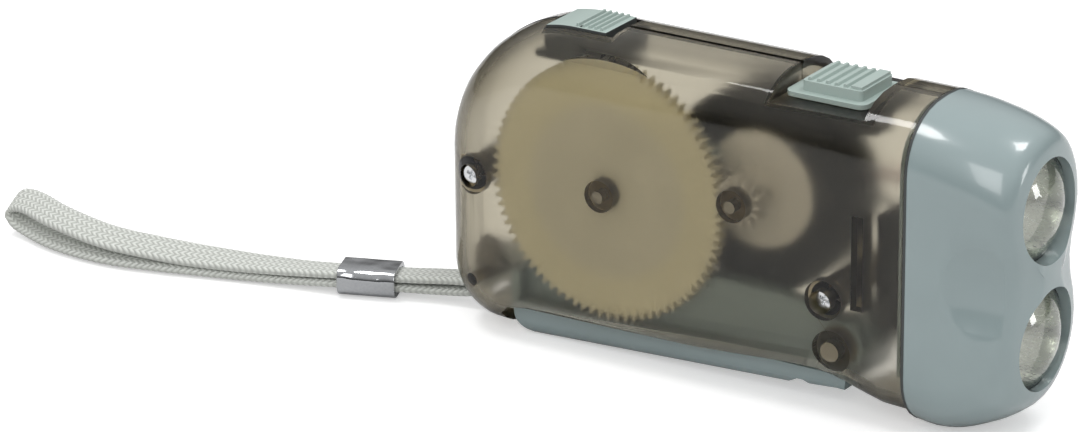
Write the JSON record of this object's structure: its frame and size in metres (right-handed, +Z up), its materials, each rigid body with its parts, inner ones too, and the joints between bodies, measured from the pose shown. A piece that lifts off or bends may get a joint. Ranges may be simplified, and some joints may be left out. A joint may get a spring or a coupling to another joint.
{
  "type": "hand-press dynamo flashlight",
  "caption": "Pocket flashlight with a squeeze lever, a gear-driven dynamo in a clear smoke housing, a twin-lens head, thumb switch, lock slide and wrist strap.",
  "frame": {"origin": "on the table under the middle of the lamp's length, without its strap", "axes": "+X forward to the lenses, +Z up, +Y to the lamp's left"},
  "size_m": [0.1902, 0.0328, 0.0527],
  "materials": {
    "smoke_clear": "clear smoke, slightly frosted",
    "blue_grey": "gloss",
    "clear": "clear polished",
    "mirror": "mirror",
    "lamp": "clear dome",
    "board": "satin",
    "black_plastic": "satin",
    "steel": "turned",
    "bright_screw": "bright plated",
    "cream_plastic": "satin",
    "copper": "lacquered wire",
    "red_wire": "satin",
    "dark_metal": "dark satin",
    "strap": "woven",
    "chrome": "polished",
    "button": "satin"
  },
  "bodies": {
    "housing": {"right_shell": "smoke_clear", "left_shell": "smoke_clear", "head": "blue_grey", "upper_lens": "clear", "lower_lens": "clear", "upper_reflector": "mirror", "lower_reflector": "mirror", "upper_led": "lamp", "lower_led": "lamp", "led_board": "board", "switch_body": "black_plastic", "cell_pack": "black_plastic", "gear_axle": "steel", "rotor_axle": "steel", "lever_pin": "steel", "bobbin": "cream_plastic", "winding": "copper", "inner_plate": "steel", "outer_plate": "steel", "rear_screw": "bright_screw", "front_screw": "bright_screw", "lever_spring": "steel", "red_lead": "red_wire", "black_lead": "black_plastic", "strap_loop": "strap", "strap_crimp": "chrome"},
    "lever": {"lever": "blue_grey"},
    "drive_pinion": {"drive_pinion": "cream_plastic"},
    "main_gear": {"main_gear": "cream_plastic"},
    "rotor": {"rotor_pinion": "cream_plastic", "flywheel": "dark_metal", "ring_magnet": "dark_metal"},
    "switch_button": {"switch_button": "button"},
    "lock_button": {"lock_button": "button"}
  },
  "joints": [
    {"name": "rotor_spin", "type": "hinge", "parent": "housing", "child": "rotor", "pos_m": [0.00259, 0, 0.03107], "axis": [0, -1, 0], "range_deg": [0, 976]},
    {"name": "lever_swing", "type": "hinge", "parent": "housing", "child": "lever", "pos_m": [0.0204, 0, 0.01126], "axis": [0, -1, 0], "range_deg": [0, 20]},
    {"name": "main_gear_turn", "type": "hinge", "parent": "housing", "child": "main_gear", "pos_m": [-0.0212, 0, 0.0279], "axis": [0, -1, 0], "range_deg": [-167, 0]},
    {"name": "drive_pinion_turn", "type": "hinge", "parent": "housing", "child": "drive_pinion", "pos_m": [-0.0212, 0, 0.0279], "axis": [0, -1, 0], "range_deg": [-167, 0]},
    {"name": "switch_slide", "type": "slide", "parent": "housing", "child": "switch_button", "axis": [1, 0, 0], "range_m": [0, 0.0016]},
    {"name": "lock_slide", "type": "slide", "parent": "housing", "child": "lock_button", "axis": [1, 0, 0], "range_m": [0, 0.0012]}
  ],
  "couplings": [
    {"joint": "lever_swing", "follows": "rotor_spin", "ratio": 0.020488},
    {"joint": "main_gear_turn", "follows": "rotor_spin", "ratio": -0.17073},
    {"joint": "drive_pinion_turn", "follows": "rotor_spin", "ratio": -0.17073}
  ]
}
